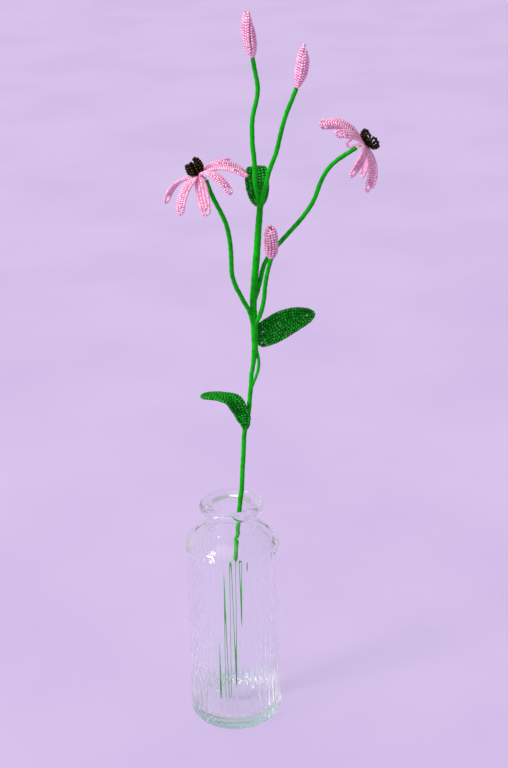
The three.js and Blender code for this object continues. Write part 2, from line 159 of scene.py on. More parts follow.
class Tree:
    """The nodes of one material or of the world."""

    def __init__(self, nodes: bpy.types.NodeTree) -> None:
        """Starts with no nodes.

        Args:
            nodes: The Blender tree, which is emptied.
        """
        self.nodes = nodes
        self.nodes.nodes.clear()

    def node(self, kind: str, settings: dict | None = None, inputs: dict | None = None) -> bpy.types.Node:
        """Makes a node and fills in its sockets.

        Args:
            kind: The node's type.
            settings: Its properties by name.
            inputs: What goes into its sockets, by name or number.

        Returns:
            The node.
        """
        made = self.nodes.nodes.new(kind)
        for name, value in (settings or {}).items():
            setattr(made, name, value)
        for name, value in (inputs or {}).items():
            if isinstance(value, Value):
                self.nodes.links.new(value.socket, made.inputs[name])
            elif isinstance(value, tuple) and made.inputs[name].type == "RGBA":
                made.inputs[name].default_value = (*value, 1.0)
            else:
                made.inputs[name].default_value = value
        return made

    def value(
        self, kind: str, output: str, settings: dict | None = None, inputs: dict | None = None,
    ) -> Value:
        """Makes a node and returns one of its outputs.

        Args:
            kind: The node's type.
            output: The name of the output.
            settings: Its properties by name.
            inputs: What goes into its sockets.

        Returns:
            The output.
        """
        return Value(self, self.node(kind, settings, inputs).outputs[output])

    def place(self) -> Value:
        """Returns the place on the object, in metres."""
        return self.value("ShaderNodeTexCoord", "Object")

    def attribute(self, name: str) -> Value:
        """Returns a number stored on the mesh, by name."""
        return self.value("ShaderNodeAttribute", "Fac", {"attribute_name": name})

    def axis(self, vector: Value, letter: str) -> Value:
        """Returns one part of a vector: X, Y or Z."""
        return self.value("ShaderNodeSeparateXYZ", letter, inputs={0: vector})

    def mix(self, share: Input, first: Input, second: Input) -> Value:
        """Mixes two colours.

        Args:
            share: How much of the second.
            first: The colour at 0.
            second: The colour at 1.

        Returns:
            The mixed colour.
        """
        made = self.nodes.nodes.new("ShaderNodeMix")
        made.data_type = "RGBA"
        for number, value in ((0, share), (6, first), (7, second)):
            if isinstance(value, Value):
                self.nodes.links.new(value.socket, made.inputs[number])
            elif number:
                made.inputs[number].default_value = (*value, 1.0)
            else:
                made.inputs[number].default_value = value
        return Value(self, made.outputs[2])

    def noise(self, vector: Value, scale: float, detail: float = 2.0) -> Value:
        """Returns soft noise from 0 to 1.

        Args:
            vector: Where it is read.
            scale: Lumps to each metre.
            detail: How many finer layers are added.
        """
        inputs = {"Vector": vector, "Scale": scale, "Detail": detail}
        return self.value("ShaderNodeTexNoise", "Fac", inputs=inputs)

    def bump(self, height: Value, strength: float, distance: float) -> Value:
        """Returns a normal bent by a height.

        Args:
            height: The height, 0 to 1.
            strength: How far the normal follows it.
            distance: The height of 1, in metres.
        """
        inputs = {"Height": height, "Strength": strength, "Distance": distance}
        return self.value("ShaderNodeBump", "Normal", inputs=inputs)

    def principled(self, inputs: dict) -> Value:
        """Returns a Principled shader with these inputs."""
        return self.value("ShaderNodeBsdfPrincipled", "BSDF", inputs=inputs)

    def surface(self, shader: Value) -> None:
        """Makes a shader the material's surface."""
        self.node("ShaderNodeOutputMaterial", inputs={"Surface": shader})


# Finishes


def new_material(name: str) -> tuple[bpy.types.Material, Tree]:
    """Makes an empty material.

    Args:
        name: Its name.

    Returns:
        The material and its nodes.
    """
    material = bpy.data.materials.new(name)
    material.use_nodes = True
    return material, Tree(material.node_tree)


@dataclass(frozen=True)
class BeadGlass:
    """Glass beads, no two quite alike: pale with a painted highlight where they face the eye, deeper at
    the rim, and darkened with painted shade at the hole, where each bead meets the next.
    """

    name: str
    # body is the beads' own colour; pale is a painted highlight where they face the eye; deep is painted
    # shade at the hole; rim is the facing share at which the painted highlight has faded to the body
    # colour.
    body: Colour
    pale: Colour
    deep: Colour
    roughness: float = 0.16
    coat: float = 0.8
    metallic: float = 0.0
    gleam: float = 0.6
    glow: float = 0.0
    rim: float = 0.75

    def material(self) -> bpy.types.Material:
        """Returns the material, which reads each bead's tone and how near a point is to its hole."""
        material, tree = new_material(self.name)
        tone = tree.attribute("tone")
        end = tree.attribute("end")
        cloud = tree.noise(tree.place(), 700.0)
        # Painted highlight: where a bead faces the eye its colour goes from the body to the pale colour,
        # more on beads of higher tone, and fades out towards the rim.
        turned = tree.value("ShaderNodeLayerWeight", "Facing", inputs={"Blend": 0.5})
        clear = (1.0 - turned.ease(0.05, self.rim)) * (0.25 + 0.75 * tone.ease(0.1, 0.8))
        colour = tree.mix(clear, self.body, self.pale)
        # Painted shade: near each hole, where a bead meets its neighbour, the colour goes to the deep
        # colour, a little less on beads of higher tone.
        colour = tree.mix((end ** 2.0) * (1.0 - 0.3 * tone), colour, self.deep)
        grain = tree.noise(tree.place(), 2600.0)
        settings = {
            "Base Color": colour,
            "Roughness": self.roughness + 0.1 * cloud + 0.08 * end,
            "Metallic": self.metallic * tone.ease(0.25, 0.8) if self.metallic else 0.0,
            "Specular IOR Level": self.gleam,
            "Coat Weight": self.coat,
            "Coat Roughness": 0.06,
            "Normal": tree.bump(grain + cloud, 0.12, 0.0001),
        }
        if self.glow:
            settings |= {"Subsurface Weight": self.glow, "Subsurface Scale": 0.0008}
            settings |= {"Subsurface Radius": (1.0, 0.45, 0.6)}
        tree.surface(tree.principled(settings))
        return material


@dataclass(frozen=True)
class SatinTape:
    """Shiny green tape wound round wire, its edges a slow spiral."""

    name: str = "satin_tape"
    lit: Colour = (0.0, 0.47, 0.003)
    shade: Colour = (0.0, 0.3, 0.002)
    edge: Colour = (0.03, 0.1, 0.0)
    turn: float = 5.2

    def material(self) -> bpy.types.Material:
        """Returns the material: the surface coordinates give the spiral, in turns and millimetres."""
        material, tree = new_material(self.name)
        spot = tree.value("ShaderNodeUVMap", "UV", {"uv_map": "UVMap"})
        wind = (tree.axis(spot, "Y") / self.turn + tree.axis(spot, "X")).fraction()
        seam = wind.ease(0.88, 0.99)
        thread = ((wind * 75.0).sine() + 1.0) * 0.5
        cloud = tree.noise(tree.place(), 180.0, 3.0)
        colour = tree.mix(cloud.ease(0.4, 0.75), self.lit, self.shade)
        colour = tree.mix(seam * (0.3 + 0.7 * cloud), colour, self.edge)
        height = wind * 0.6 + thread * 0.1 + cloud * 0.35
        settings = {
            "Base Color": colour,
            "Roughness": 0.4 + 0.2 * cloud + 0.15 * seam,
            "Specular IOR Level": 0.12,
            "Normal": tree.bump(height, 0.6, 0.0003),
        }
        tree.surface(tree.principled(settings))
        return material


@dataclass(frozen=True)
class BareWire:
    """Thin drawn wire, a little dull."""

    name: str = "bare_wire"
    bright: Colour = (0.86, 0.82, 0.76)
    dull: Colour = (0.5, 0.46, 0.42)

    def material(self) -> bpy.types.Material:
        """Returns the material."""
        material, tree = new_material(self.name)
        cloud = tree.noise(tree.place(), 500.0, 3.0)
        draw = tree.noise(tree.place(), 3000.0)
        settings = {
            "Base Color": tree.mix(cloud.ease(0.35, 0.7), self.bright, self.dull),
            "Metallic": 0.85,
            "Roughness": 0.28 + 0.2 * draw,
            "Normal": tree.bump(draw, 0.25, 0.0001),
        }
        tree.surface(tree.principled(settings))
        return material


@dataclass(frozen=True)
class ClearGlass:
    """Clear pressed glass, greener at the foot's rim. Lamp light and scattered light go straight through.

    foot_height and foot_rim are where the tint fades with height and begins with distance from the
    axis, in metres and in metres squared.
    """

    name: str = "clear_glass"
    clear: Colour = (0.975, 0.992, 0.988)
    foot: Colour = (0.5, 0.88, 0.74)
    let_through: Colour = (0.97, 0.98, 0.975)
    foot_height: tuple[float, float] = (0.003, 0.014)
    foot_rim: tuple[float, float] = (0.0009, 0.00099)
    refraction: float = 1.48

    def material(self) -> bpy.types.Material:
        """Returns the material."""
        material, tree = new_material(self.name)
        place = tree.place()
        x, y = tree.axis(place, "X"), tree.axis(place, "Y")
        low = 1.0 - tree.axis(place, "Z").ease(*self.foot_height)
        low = low * (x * x + y * y).ease(*self.foot_rim)
        ripple = tree.noise(place, 55.0, 1.0)
        speck = tree.noise(place, 900.0)
        settings = {
            "Base Color": tree.mix(low * 0.9, self.clear, self.foot),
            "Roughness": 0.012 + 0.02 * speck.ease(0.45, 0.8),
            "IOR": self.refraction,
            "Transmission Weight": 1.0,
            "Normal": tree.bump(ripple, 0.02, 0.0008),
        }
        glass = tree.principled(settings)
        open_air = tree.value("ShaderNodeBsdfTransparent", "BSDF", inputs={"Color": self.let_through})
        lamp = tree.value("ShaderNodeLightPath", "Is Shadow Ray")
        scattered = tree.value("ShaderNodeLightPath", "Is Diffuse Ray")
        inputs = {0: (lamp + scattered).least(1.0), 1: glass, 2: open_air}
        tree.surface(tree.value("ShaderNodeMixShader", "Shader", inputs=inputs))
        return material


@dataclass(frozen=True)
class FloorPaper:
    """The pale matt floor."""

    name: str = "floor_paper"
    pale: Colour = (0.62, 0.49, 0.75)
    soft: Colour = (0.58, 0.45, 0.72)

    def material(self) -> bpy.types.Material:
        """Returns the material."""
        material, tree = new_material(self.name)
        cloud = tree.noise(tree.place(), 4.0, 3.0)
        grain = tree.noise(tree.place(), 900.0)
        settings = {
            "Base Color": tree.mix(cloud.ease(0.3, 0.7), self.pale, self.soft),
            "Roughness": 0.55 + 0.1 * grain,
            "Normal": tree.bump(grain, 0.1, 0.0002),
        }
        tree.surface(tree.principled(settings))
        return material


Finish = Union[BeadGlass, SatinTape, BareWire, ClearGlass, FloorPaper]

# Each bead finish gives the beads' own colour, then the painted highlight colour where they face the eye,
# then the painted shade colour at the hole.
PINK = BeadGlass("pink_beads", (0.93, 0.35, 0.6), (1.0, 0.8, 0.91), (0.82, 0.17, 0.42), glow=0.3)
GREEN = BeadGlass(
    "green_beads", (0.0, 0.17, 0.003), (0.005, 0.5, 0.015), (0.0, 0.045, 0.001), 0.22,
    coat=0.03, gleam=0.1,
)
BRONZE = BeadGlass(
    "bronze_beads", (0.004, 0.002, 0.001), (0.12, 0.08, 0.012), (0.0015, 0.001, 0.0005), 0.25,
    coat=0.03, gleam=0.1, metallic=0.6, rim=0.22,
)
TAPE = SatinTape()
WIRE = BareWire()
GLASS = ClearGlass()
FLOOR = FloorPaper()


# Surfaces


def unit(vectors: Array) -> Array:
    """Returns vectors of length one in the same directions."""
    return vectors / np.maximum(np.linalg.norm(vectors, axis=-1, keepdims=True), 1e-9)


def smooth(knots: Array, values: Array, where: Array) -> Array:
    """Reads a smooth curve through given values.

    Formula: between two knots the curve is the cubic that meets both values, and its slope at each
    knot is that of the parabola through the knot and its two neighbours.

    Args:
        knots: Rising numbers, one for each value.
        values: One row for each knot.
        where: The numbers to read it at.

    Returns:
        One row for each number.
    """
    slopes = np.gradient(values, knots, axis=0)
    i = np.clip(np.searchsorted(knots, where, side="right") - 1, 0, len(knots) - 2)
    step = (knots[i + 1] - knots[i])[:, None]
    u = (where - knots[i])[:, None] / step
    ends = (1 + 2 * u) * (1 - u) ** 2 * values[i] + u ** 2 * (3 - 2 * u) * values[i + 1]
    return ends + step * (u * (1 - u) ** 2 * slopes[i] - u ** 2 * (1 - u) * slopes[i + 1])


class SmoothPath:
    """A smooth curve through waypoints, read by distance along it."""

    def __init__(self, waypoints: Array, fine: int = 16) -> None:
        """Lays the curve.

        Args:
            waypoints: The points it goes through.
            fine: How many short steps each gap is cut into.
        """
        points = np.asarray(waypoints, float)
        gaps = np.linalg.norm(np.diff(points, axis=0), axis=1) ** 0.5
        knots = np.concatenate([[0.0], np.cumsum(np.maximum(gaps, 1e-6))])
        steps = np.interp(np.linspace(0, len(points) - 1, (len(points) - 1) * fine + 1),
                          np.arange(len(points)), knots)
        self.points = smooth(knots, points, steps)
        pieces = np.linalg.norm(np.diff(self.points, axis=0), axis=1)
        self.distances = np.concatenate([[0.0], np.cumsum(pieces)])

    @property
    def length(self) -> float:
        """The curve's whole length."""
        return float(self.distances[-1])

    def at(self, distances: Array) -> Array:
        """Returns the points at these distances along the curve."""
        return np.stack([np.interp(distances, self.distances, c) for c in self.points.T], axis=-1)

    def way(self, distances: Array) -> Array:
        """Returns the directions of travel at these distances."""
        step = min(0.3, self.length / 20)
        ahead = self.at(np.minimum(distances + step, self.length))
        return unit(ahead - self.at(np.maximum(distances - step, 0.0)))


@dataclass(frozen=True)
class Axes:
    """Three unit directions: an axis, one to the right of the front view and one away from it."""

    axis: Array
    right: Array
    away: Array

    @classmethod
    def about(cls, direction: Point | Array) -> "Axes":
        """Returns the three directions about an axis."""
        axis = unit(np.asarray(direction, float))
        right = unit(np.array([1.0, 0.0, 0.0]) - axis * axis[0])
        return cls(axis, right, np.cross(axis, right))

    def point(self, reach: Array, angle: Array, lift: Array) -> Array:
        """Returns points by distance from the axis, angle about it and height along it."""
        flat = np.cos(angle)[..., None] * self.right + np.sin(angle)[..., None] * self.away
        return reach[..., None] * flat + lift[..., None] * self.axis


@dataclass
class Shape:
    """The points and faces of a piece.

    points are (n, 3); faces are arrays of corner numbers, one array for each number of corners;
    spots are the same faces' surface coordinates; tone and end are one number for each point; and
    looks is which finish each array of faces wears.
    """

    points: Array
    faces: list[Array]
    spots: list[Array]
    tone: Array
    end: Array
    looks: list[int] = field(default_factory=list)

    @classmethod
    def join(cls, shapes: list["Shape"]) -> "Shape":
        """Returns one shape that holds several."""
        starts = np.cumsum([0, *[len(s.points) for s in shapes]])
        return cls(
            np.concatenate([s.points for s in shapes]),
            [f + start for s, start in zip(shapes, starts) for f in s.faces],
            [spots for s in shapes for spots in s.spots],
            np.concatenate([s.tone for s in shapes]),
            np.concatenate([s.end for s in shapes]),
            [look for s in shapes for look in s.looks],
        )

    def wearing(self, look: int) -> "Shape":
        """Returns the shape with all its faces in one finish, by number."""
        self.looks = [look] * len(self.faces)
        return self

    def place(self, name: str, finishes: list[Finish]) -> bpy.types.Object:
        """Makes the Blender object, at the origin and unturned.

        Args:
            name: The object's name.
            finishes: What it is made of, in the order its faces count them.

        Returns:
            The object.
        """
        mesh = bpy.data.meshes.new(name)
        mesh.vertices.add(len(self.points))
        mesh.vertices.foreach_set("co", (self.points * MM).astype(np.float32).ravel())
        corners = np.concatenate([f.ravel() for f in self.faces])
        counts = np.concatenate([np.full(len(f), f.shape[1]) for f in self.faces])
        mesh.loops.add(len(corners))
        mesh.loops.foreach_set("vertex_index", corners.astype(np.int32))
        mesh.polygons.add(len(counts))
        mesh.polygons.foreach_set("loop_start", (np.cumsum(counts) - counts).astype(np.int32))
        looks = np.concatenate([np.full(len(f), k) for f, k in zip(self.faces, self.looks)])
        mesh.polygons.foreach_set("material_index", looks.astype(np.int32))
        mesh.polygons.foreach_set("use_smooth", np.ones(len(counts), bool))
        spots = np.concatenate([s.reshape(-1, 2) for s in self.spots])
        mesh.uv_layers.new(name="UVMap").data.foreach_set("uv", spots.astype(np.float32).ravel())
        for key, values in (("tone", self.tone), ("end", self.end)):
            layer = mesh.attributes.new(key, "FLOAT", "POINT")
            layer.data.foreach_set("value", values.astype(np.float32))
        mesh.update(calc_edges=True)
        for finish in finishes:
            made = bpy.data.materials.get(finish.name) or finish.material()
            mesh.materials.append(made)
        thing = bpy.data.objects.new(name, mesh)
        bpy.context.scene.collection.objects.link(thing)
        triangles = int((counts - 2).sum())
        log.info("%s: %d points, %d triangles", name, len(self.points), triangles)
        return thing


def grid(points: Array, along: Array) -> Shape:
    """Skins rows of points that each run round a closed ring, and closes both ends.

    Formula: ring k and column i give the point, columns wrap round, and each face joins ring k to
    ring k + 1 between columns i and i + 1. The surface coordinates are the share of a turn and the
    distance along.

    Args:
        points: (rings, columns, 3).
        along: The distance of each ring.

    Returns:
        The shape.
    """
    rings, columns = points.shape[:2]
    k, i = np.meshgrid(np.arange(rings - 1), np.arange(columns), indexing="ij")
    after = (i + 1) % columns
    quads = np.stack([k * columns + i, k * columns + after, (k + 1) * columns + after,
                      (k + 1) * columns + i], axis=-1).reshape(-1, 4)
    u = np.stack([i, i + 1, i + 1, i], axis=-1) / columns
    v = np.stack([along[k], along[k], along[k + 1], along[k + 1]], axis=-1)
    around = np.arange(columns)
    caps = np.stack([around[::-1], around + (rings - 1) * columns])
    flat = np.zeros((2, columns, 2))
    flat[1, :, 1] = along[-1]
    nothing = np.zeros(rings * columns)
    return Shape(points.reshape(-1, 3), [quads, caps],
                 [np.stack([u, v], axis=-1).reshape(-1, 4, 2), flat], nothing, nothing, [0, 0])


@dataclass(frozen=True)
class Tube:
    """A round bar along a smooth path, its radius a function of distance and angle."""

    path: SmoothPath
    radius: Callable[[Array, Array], Array]
    step: float = 0.8
    columns: int = 16

    def shape(self) -> Shape:
        """Returns the skin.

        Formula: the point at distance s and angle a is the path's point at s, moved out by the
        radius along the front direction times cos a plus the side direction times sin a, where
        front is the direction to the viewer made square to the path.
        """
        rings = max(int(self.path.length / self.step), 3) + 1
        s = np.linspace(0, self.path.length, rings)
        angle = np.linspace(0, 2 * np.pi, self.columns, endpoint=False)
        travel = self.path.way(s)
        toward = np.array([0.0, -1.0, 0.0])
        front = unit(toward - travel * (travel @ toward)[:, None])
        side = np.cross(travel, front)
        radius = self.radius(s[:, None], angle[None, :]) * np.ones((rings, self.columns))
        ring = (front[:, None] * np.cos(angle)[None, :, None]
                + side[:, None] * np.sin(angle)[None, :, None])
        return grid(self.path.at(s)[:, None] + radius[..., None] * ring, s)


@dataclass(frozen=True)
class Beads:
    """A kind of bead: a short rounded drum with a hole along the thread.

    pitch is its length, end_share is the width of its ends as a share of its radius, and SHIFT and
    TILT are how far beads stray from the thread, in millimetres and as a share of their direction.
    """

    radius: float
    pitch: float
    end_share: float = 0.62
    columns: int = 9

    SHIFT = 0.045
    TILT = 0.07

    def string(self, paths: list[Array], rng: np.random.Generator) -> Shape:
        """Threads beads along several paths.

        Formula: a bead's point is its middle plus its radius times a share of the drum's profile
        round the thread, plus its half length times the profile's height along the thread.

        Args:
            paths: The waypoints of each thread.
            rng: Makes each bead a little different.

        Returns:
            All the beads as one shape.
        """
        middles, ways, halves = [], [], []
        for waypoints in paths:
            path = SmoothPath(waypoints, 8)
            count = max(int(round(path.length / self.pitch * rng.uniform(0.96, 1.04))), 2)
            s = (np.arange(count) + rng.uniform(0.25, 0.75)) * path.length / count
            middles.append(path.at(s))
            ways.append(path.way(s))
            halves.append(np.full(count, path.length / count / 2))
        middle = np.concatenate(middles)
        middle = middle + rng.normal(0, self.SHIFT, middle.shape)
        way = np.concatenate(ways)
        way = unit(way + rng.normal(0, self.TILT, way.shape))
        half = np.concatenate(halves) * rng.uniform(0.94, 1.0, len(middle))
        radius = self.radius * rng.uniform(0.94, 1.04, len(middle))
        helper = np.where(np.abs(way[:, 2:]) < 0.9, [[0.0, 0.0, 1.0]], [[1.0, 0.0, 0.0]])
        first = unit(np.cross(helper, way))
        second = np.cross(way, first)
        drum = np.array([[0.25, -0.84], [self.end_share, -1.0], [1.0, -0.38], [1.0, 0.38],
                         [self.end_share, 1.0], [0.25, 0.84]])
        angle = np.linspace(0, 2 * np.pi, self.columns, endpoint=False)
        ring = first[:, None] * np.cos(angle)[:, None] + second[:, None] * np.sin(angle)[:, None]
        out = radius[:, None] * drum[:, 0]
        points = middle[:, None, None] + out[..., None, None] * ring[:, None]
        points = points + (half[:, None] * drum[:, 1])[..., None, None] * way[:, None, None]
        return self._skin(points, drum, rng.uniform(0, 1, len(middle)))

    def _skin(self, points: Array, drum: Array, tones: Array) -> Shape:
        """Skins every bead alike.

        Args:
            points: (beads, rings, columns, 3).
            drum: The profile's shares of radius and half length.
            tones: One tone for each bead.

        Returns:
            The shape.
        """
        one = grid(points[0], np.abs(drum[:, 1]))
        many, size = len(points), len(one.points)
        starts = np.arange(many)[:, None, None] * size
        faces = [(f[None] + starts).reshape(-1, f.shape[1]) for f in one.faces]
        spots = [np.tile(s, (many, 1, 1)) for s in one.spots]
        # How near each ring lies to the hole, 0 to 1: the bead finish paints shade there, where beads
        # meet, and roughens it a little.
        hole = np.clip(np.abs(drum[:, 1]) + np.array([0.3, 0, 0, 0, 0, 0.3]), 0, 1)
        end = np.tile(np.repeat(hole, self.columns), many)
        return Shape(points.reshape(-1, 3), faces, spots, np.repeat(tones, size), end, [0, 0])


# Sub-assemblies


@dataclass
class Piece:
    """A piece of the visual model and the CAD node that it stands for."""

    node: str
    slot: str

    def show(self, shape: Shape, finishes: list[Finish]) -> None:
        """Places the piece and says what it rides on.

        Args:
            shape: Its points and faces.
            finishes: What it is made of.
        """
        thing = shape.place(f"{self.node}_look", finishes)
        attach(thing, "root")
        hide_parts(self.node)


@dataclass
class Vase:
    """The ribbed bottle of clear glass."""

    body_radius: float = 32.1
    rib_depth: float = 0.42
    rib_count: int = 44
    wall: float = 2.7
    shoulder_height: float = 138.0
    shoulder_rise: float = 10.0
    shoulder_power: float = 1.43
    neck_radius: float = 16.8
    lip_radius: float = 17.6
    lip_width: float = 4.4
    lip_rise: float = 2.9
    lip_height: float = 164.1

    def profile(self) -> Array:
        """Returns the wall's outline from under the foot, over the lip and down to the floor.

        Formula: the shoulder is a rounded quarter, radius 16.8 + 15.3 cos t to the power 1.43 and
        height 138 + 10 sin t to the power 1.43; the lip is an ellipse; the rest is drawn through a
        few points. Columns are radius, height and how deep the ribs are, 0 to 1.
        """
        foot = np.array([[0.5, 1.7, 0], [14, 1.6, 0], [21, 1.2, 0], [25, 0.5, 0], [27, 0.05, 0],
                         [28.8, 0, 0], [30.2, 0.35, 0.1], [31.2, 1.1, 0.4], [31.8, 2.1, 0.8],
                         [32.1, 3.4, 1], [32.1, 8, 1]])
        wall = np.array([[32.1, 30, 1], [32.1, 80, 1], [32.1, 128, 1], [32.1, 135, 1],
                         [32.1, 137, 0.9], [32.0, 137.9, 0.7], [31.8, 138.5, 0.5]])
        t = np.radians(np.linspace(12, 88, 22))
        width = self.body_radius - self.neck_radius
        shoulder = np.stack([self.neck_radius + width * np.cos(t) ** self.shoulder_power,
                             self.shoulder_height + self.shoulder_rise * np.sin(t) ** self.shoulder_power,
                             np.clip(0.9 - t * 3, 0, 1)], axis=1)
        neck = np.array([[16.75, 150.5, 0], [16.7, 155, 0], [16.7, 159, 0], [16.8, 160.4, 0]])
        a = np.radians(np.linspace(-92, 180, 30))
        lip = np.stack([self.lip_radius + self.lip_width * np.cos(a),
                        self.lip_height + self.lip_rise * np.sin(a), 0 * a], axis=1)
        inner = SmoothPath([[13.2, 163, 0], [13.2, 156, 0], [13.3, 149.5, 0], [14.4, 146, 0],
                            [19.4, 143.2, 0], [24.6, 139.2, 0], [27.6, 135, 0], [29.2, 129.5, 0],
                            [29.4, 122, 0]], 5).points
        floor = SmoothPath([[29.4, 60, 0], [29.4, 16, 0], [28.9, 11.6, 0], [27.2, 9.3, 0],
                            [23, 8.2, 0], [12, 8, 0], [0.5, 8, 0]], 4).points
        return np.concatenate([foot, wall, shoulder, neck, lip, inner, floor])

    def shape(self) -> Shape:
        """Returns the glass.

        Formula: the radius is the outline's plus half a rib's depth times cos(ribs * angle), which
        gives even, round reeds.
        """
        outline = self.profile()
        columns = self.rib_count * 14
        angle = np.linspace(0, 2 * np.pi, columns, endpoint=False)
        reed = 0.5 * np.cos(angle * self.rib_count)
        radius = outline[:, :1] + outline[:, 2:] * self.rib_depth * reed
        height = outline[:, 1:2] + 0 * angle
        points = np.stack([radius * np.cos(angle), radius * np.sin(angle), height], axis=-1)
        steps = np.linalg.norm(np.diff(outline[:, :2], axis=0), axis=1)
        return grid(points, np.concatenate([[0.0], np.cumsum(steps)]))

    def build(self) -> None:
        """Makes and dresses the vase."""
        Piece("vase", "vase_glass").show(self.shape(), [GLASS])


@dataclass
class Branch:
    """One wrapped wire: its waypoints, and its radius by share of the way.

    TAPE_STEP is the tape's edge in millimetres, and LUMPS how uneven the wire is under it.
    """

    path: list[Point]
    radii: list[tuple[float, float]]

    TAPE_STEP = 0.14
    LUMPS = 0.022

    def shape(self, rng: np.random.Generator, columns: int = 16) -> Shape:
        """Returns the wrapped wire.

        Formula: the radius grows by the tape's edge over each turn of the tape and drops there,
        with slow lumps from three waves of different length.

        Args:
            rng: Sets where the lumps fall.
            columns: How many points go round.
        """
        path = SmoothPath(self.path)
        share, radius = np.array(self.radii).T
        phase = rng.uniform(0, 2 * np.pi, 3)

        def thickness(s: Array, angle: Array) -> Array:
            """Returns the radius at a distance and an angle."""
            plain = np.interp(s / path.length, share, radius)
            wound = (s / TAPE.turn + angle / (2 * np.pi)) % 1.0
            lumps = (np.sin(s / 2.1 + phase[0]) + np.sin(s / 4.7 + angle + phase[1])
                     + np.sin(s / 8.9 - angle + phase[2]))
            return plain * (1 + self.LUMPS * lumps) - 0.06 + self.TAPE_STEP * wound

        return Tube(path, thickness, 0.75, columns).shape()


@dataclass
class Stems:
    """The wrapped main stem with its side strand and five branches."""

    main: Branch
    branches: list[Branch]

    def build(self, rng: np.random.Generator) -> None:
        """Makes and dresses the stems."""
        shapes = [self.main.shape(rng, 20)] + [b.shape(rng) for b in self.branches]
        Piece("stems", "stem_wrap").show(Shape.join(shapes), [TAPE])


@dataclass
class Leaf:
    """A leaf of closed bead loops, one inside another, round a middle row.

    Each station is a middle point, the direction across the leaf and the half width there.
    """

    node: str
    stations: list[tuple[Point, Point, float]]
    loops: int
    cup: float
    stalk: list[Point]
    bead: Beads = Beads(1.25, 1.9, 0.82)

    FINE = 240
    EDGE_POINTS = 420

    def __post_init__(self) -> None:
        """Lays the middle line and reads its length."""
        rows = np.array([[*middle, *across, half] for middle, across, half in self.stations])
        knots = np.arange(len(rows), dtype=float)
        self.table = smooth(knots, rows, np.linspace(0, len(rows) - 1, self.FINE))
        steps = np.linalg.norm(np.diff(self.table[:, :3], axis=0), axis=1)
        self.distance = np.concatenate([[0.0], np.cumsum(steps)])

    def surface(self, flat: Array) -> Array:
        """Lifts points of the flat leaf onto the bent one.

        Formula: a point at distance s along and w across is the middle line's point at s, plus w
        times the direction across, plus the cup times the squared share of the half width.

        Args:
            flat: Distances along and across.

        Returns:
            The points.
        """
        s, w = flat.T
        row = np.stack([np.interp(s, self.distance, c) for c in self.table.T], axis=-1)
        ahead = np.stack([np.interp(s + 0.5, self.distance, c) for c in self.table[:, :3].T], axis=-1)
        behind = np.stack([np.interp(s - 0.5, self.distance, c) for c in self.table[:, :3].T], axis=-1)
        travel = unit(ahead - behind)
        across = unit(row[:, 3:6] - travel * (row[:, 3:6] * travel).sum(axis=1, keepdims=True))
        normal = np.cross(travel, across)
        lift = self.cup * (w / np.maximum(row[:, 6], 2.0)) ** 2
        return row[:, :3] + across * w[:, None] + normal * lift[:, None]

    def outline(self) -> Array:
        """Returns the flat leaf's edge as a closed row of points, evenly apart."""
        half = self.table[::6, 6]
        s = self.distance[::6]
        right = np.stack([s, half], axis=1)
        left = np.stack([s, -half], axis=1)[::-1]
        edge = np.concatenate([[[s[0] - 0.3, 0.0]], right, [[s[-1] + 0.8, 0.0]], left,
                               [[s[0] - 0.3, 0.0]]])
        steps = np.concatenate([[0.0], np.cumsum(np.linalg.norm(np.diff(edge, axis=0), axis=1))])
        even = np.linspace(0, steps[-1], self.EDGE_POINTS, endpoint=False)
        return np.stack([np.interp(even, steps, c) for c in edge.T], axis=-1)

    def inset(self, depth: float) -> Array:
        """Returns the loop that lies this far inside the edge.

        Formula: each edge point moves inward along its own normal, and a moved point that is nearer
        than the depth to any edge point is left out.
        """
        edge = self.outline()
        way = unit(np.roll(edge, -1, axis=0) - np.roll(edge, 1, axis=0))
        inward = np.stack([way[:, 1], -way[:, 0]], axis=1)
        moved = edge + depth * inward
        near = np.linalg.norm(moved[:, None] - edge[None], axis=2).min(axis=1)
        kept = moved[near > depth * 0.985 - 0.02]
        return np.concatenate([kept, kept[:1]]) if len(kept) > 8 else kept

    def rows(self) -> list[Array]:
        """Returns the waypoints of every row, the outermost loop first and the middle row last."""
        widest = float(self.table[:, 6].max())
        step = (widest - self.bead.radius) / self.loops
        loops = [self.inset(self.bead.radius + k * step) for k in range(self.loops)]
        loops = [loop for loop in loops if len(loop) > 8]
        low, high = loops[-2][:, 0].min() + step, loops[-2][:, 0].max() - step
        middle = np.stack([np.linspace(low, high, 16), np.zeros(16)], axis=1)
        return [self.surface(loop[::3]) for loop in loops] + [self.surface(middle)]

    def build(self, rng: np.random.Generator) -> None:
        """Makes and dresses the leaf and the short wrapped stalk that joins it to the stem."""
        beads = self.bead.string(self.rows(), rng).wearing(0)
        stalk = Tube(SmoothPath(self.stalk), lambda s, a: 0.75 + 0.05 * np.sin(s * 3 + a), 0.5, 10)
        shape = Shape.join([beads, stalk.shape().wearing(1)])
        Piece(self.node, "leaf_beads").show(shape, [GREEN, TAPE])


